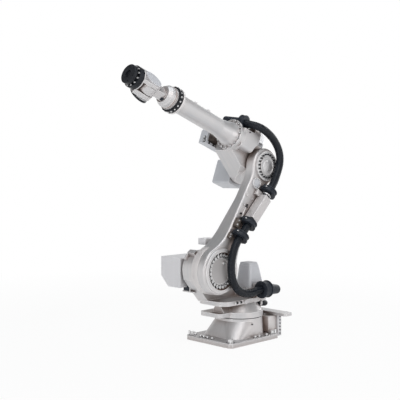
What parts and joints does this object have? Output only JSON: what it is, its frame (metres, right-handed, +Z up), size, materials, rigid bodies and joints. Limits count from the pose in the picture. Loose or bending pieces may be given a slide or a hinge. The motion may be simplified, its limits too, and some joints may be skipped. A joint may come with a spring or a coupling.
{
  "type": "industrial robot arm",
  "caption": "Floor-standing jointed robot arm with a swivelling shoulder, leaning lower arm, round forearm, bent wrist with a tool flange, and a black hose looped along its side.",
  "frame": {"origin": "on the swivel axis, at the floor face of the base plate", "axes": "+X forward, the way the shoulder stands out from the swivel axis; +Y to the arm's side; +Z up along the swivel axis"},
  "size_m": [1.6591, 0.784, 2.3098],
  "materials": {
    "cast_paint": "satin",
    "cover_paint": "satin",
    "dark_metal": "satin",
    "black_plastic": "satin",
    "hose": "satin"
  },
  "bodies": {
    "base": {"base_casting": "cast_paint", "socket_box": "cover_paint", "tray_plate": "cast_paint", "bearing_ring": "dark_metal"},
    "swivel": {"swivel_casting": "cast_paint", "shoulder_reducer": "dark_metal", "shoulder_motor_flange": "cover_paint", "shoulder_motor_cover": "cover_paint", "swivel_motor_cover": "cover_paint", "swivel_motor_cap": "cover_paint", "tower_box": "cover_paint", "stop_block": "cast_paint", "hose_base_clamp": "black_plastic", "hose_base_boot": "black_plastic", "hose_base_bracket": "cast_paint", "hose_lower_span": "hose"},
    "lower_arm": {"arm_casting": "cast_paint", "shoulder_cap": "cover_paint", "elbow_cap": "cover_paint", "access_cover": "cover_paint", "hose_clamp_lower": "black_plastic", "hose_clamp_middle": "black_plastic", "hose_clamp_upper": "black_plastic", "hose_box": "cover_paint", "hose_arm_span": "hose", "hose_upper_span": "hose"},
    "upper_arm": {"elbow_casting": "cast_paint", "elbow_reducer": "dark_metal", "elbow_motor_cover": "cover_paint", "rear_cover": "cover_paint", "wrist_motor_bracket": "cover_paint", "wrist_motor": "dark_metal", "elbow_hose_clamp": "black_plastic", "elbow_hose_boot": "black_plastic"},
    "forearm": {"forearm_root_flange": "cast_paint", "forearm_tube": "cast_paint", "wrist_ring": "dark_metal", "wrist_sleeve": "cast_paint"},
    "wrist": {"wrist_housing": "cast_paint", "wrist_drum_cap": "cover_paint", "wrist_side_cover": "cover_paint", "roll_ring": "dark_metal"},
    "tool": {"tool_flange": "dark_metal"}
  },
  "joints": [
    {"name": "swivel_turn", "type": "hinge", "parent": "base", "child": "swivel", "pos_m": [0, 0, 0.206], "axis": [0, 0, 1], "range_deg": [-180, 180]},
    {"name": "shoulder_bend", "type": "hinge", "parent": "swivel", "child": "lower_arm", "pos_m": [0.38, 0, 0.64], "axis": [0, 1, 0], "range_deg": [-27, 108], "deforming": ["hose_lower_span"]},
    {"name": "elbow_bend", "type": "hinge", "parent": "lower_arm", "child": "upper_arm", "pos_m": [-0.19732, 0, 1.52899], "axis": [0, -1, 0], "range_deg": [-50, 85], "deforming": ["hose_upper_span"]},
    {"name": "forearm_roll", "type": "hinge", "parent": "upper_arm", "child": "forearm", "pos_m": [0.1117, 0, 1.80112], "axis": [0.9361, 0, 0.3518], "range_deg": [-180, 180]},
    {"name": "wrist_bend", "type": "hinge", "parent": "forearm", "child": "wrist", "pos_m": [1.06648, 0, 2.15999], "axis": [-0.24, 0.7314, 0.6384], "range_deg": [-120, 120]},
    {"name": "flange_roll", "type": "hinge", "parent": "wrist", "child": "tool", "pos_m": [1.22374, 0, 2.2191], "axis": [0.9361, 0, 0.3518], "range_deg": [-360, 360]}
  ]
}
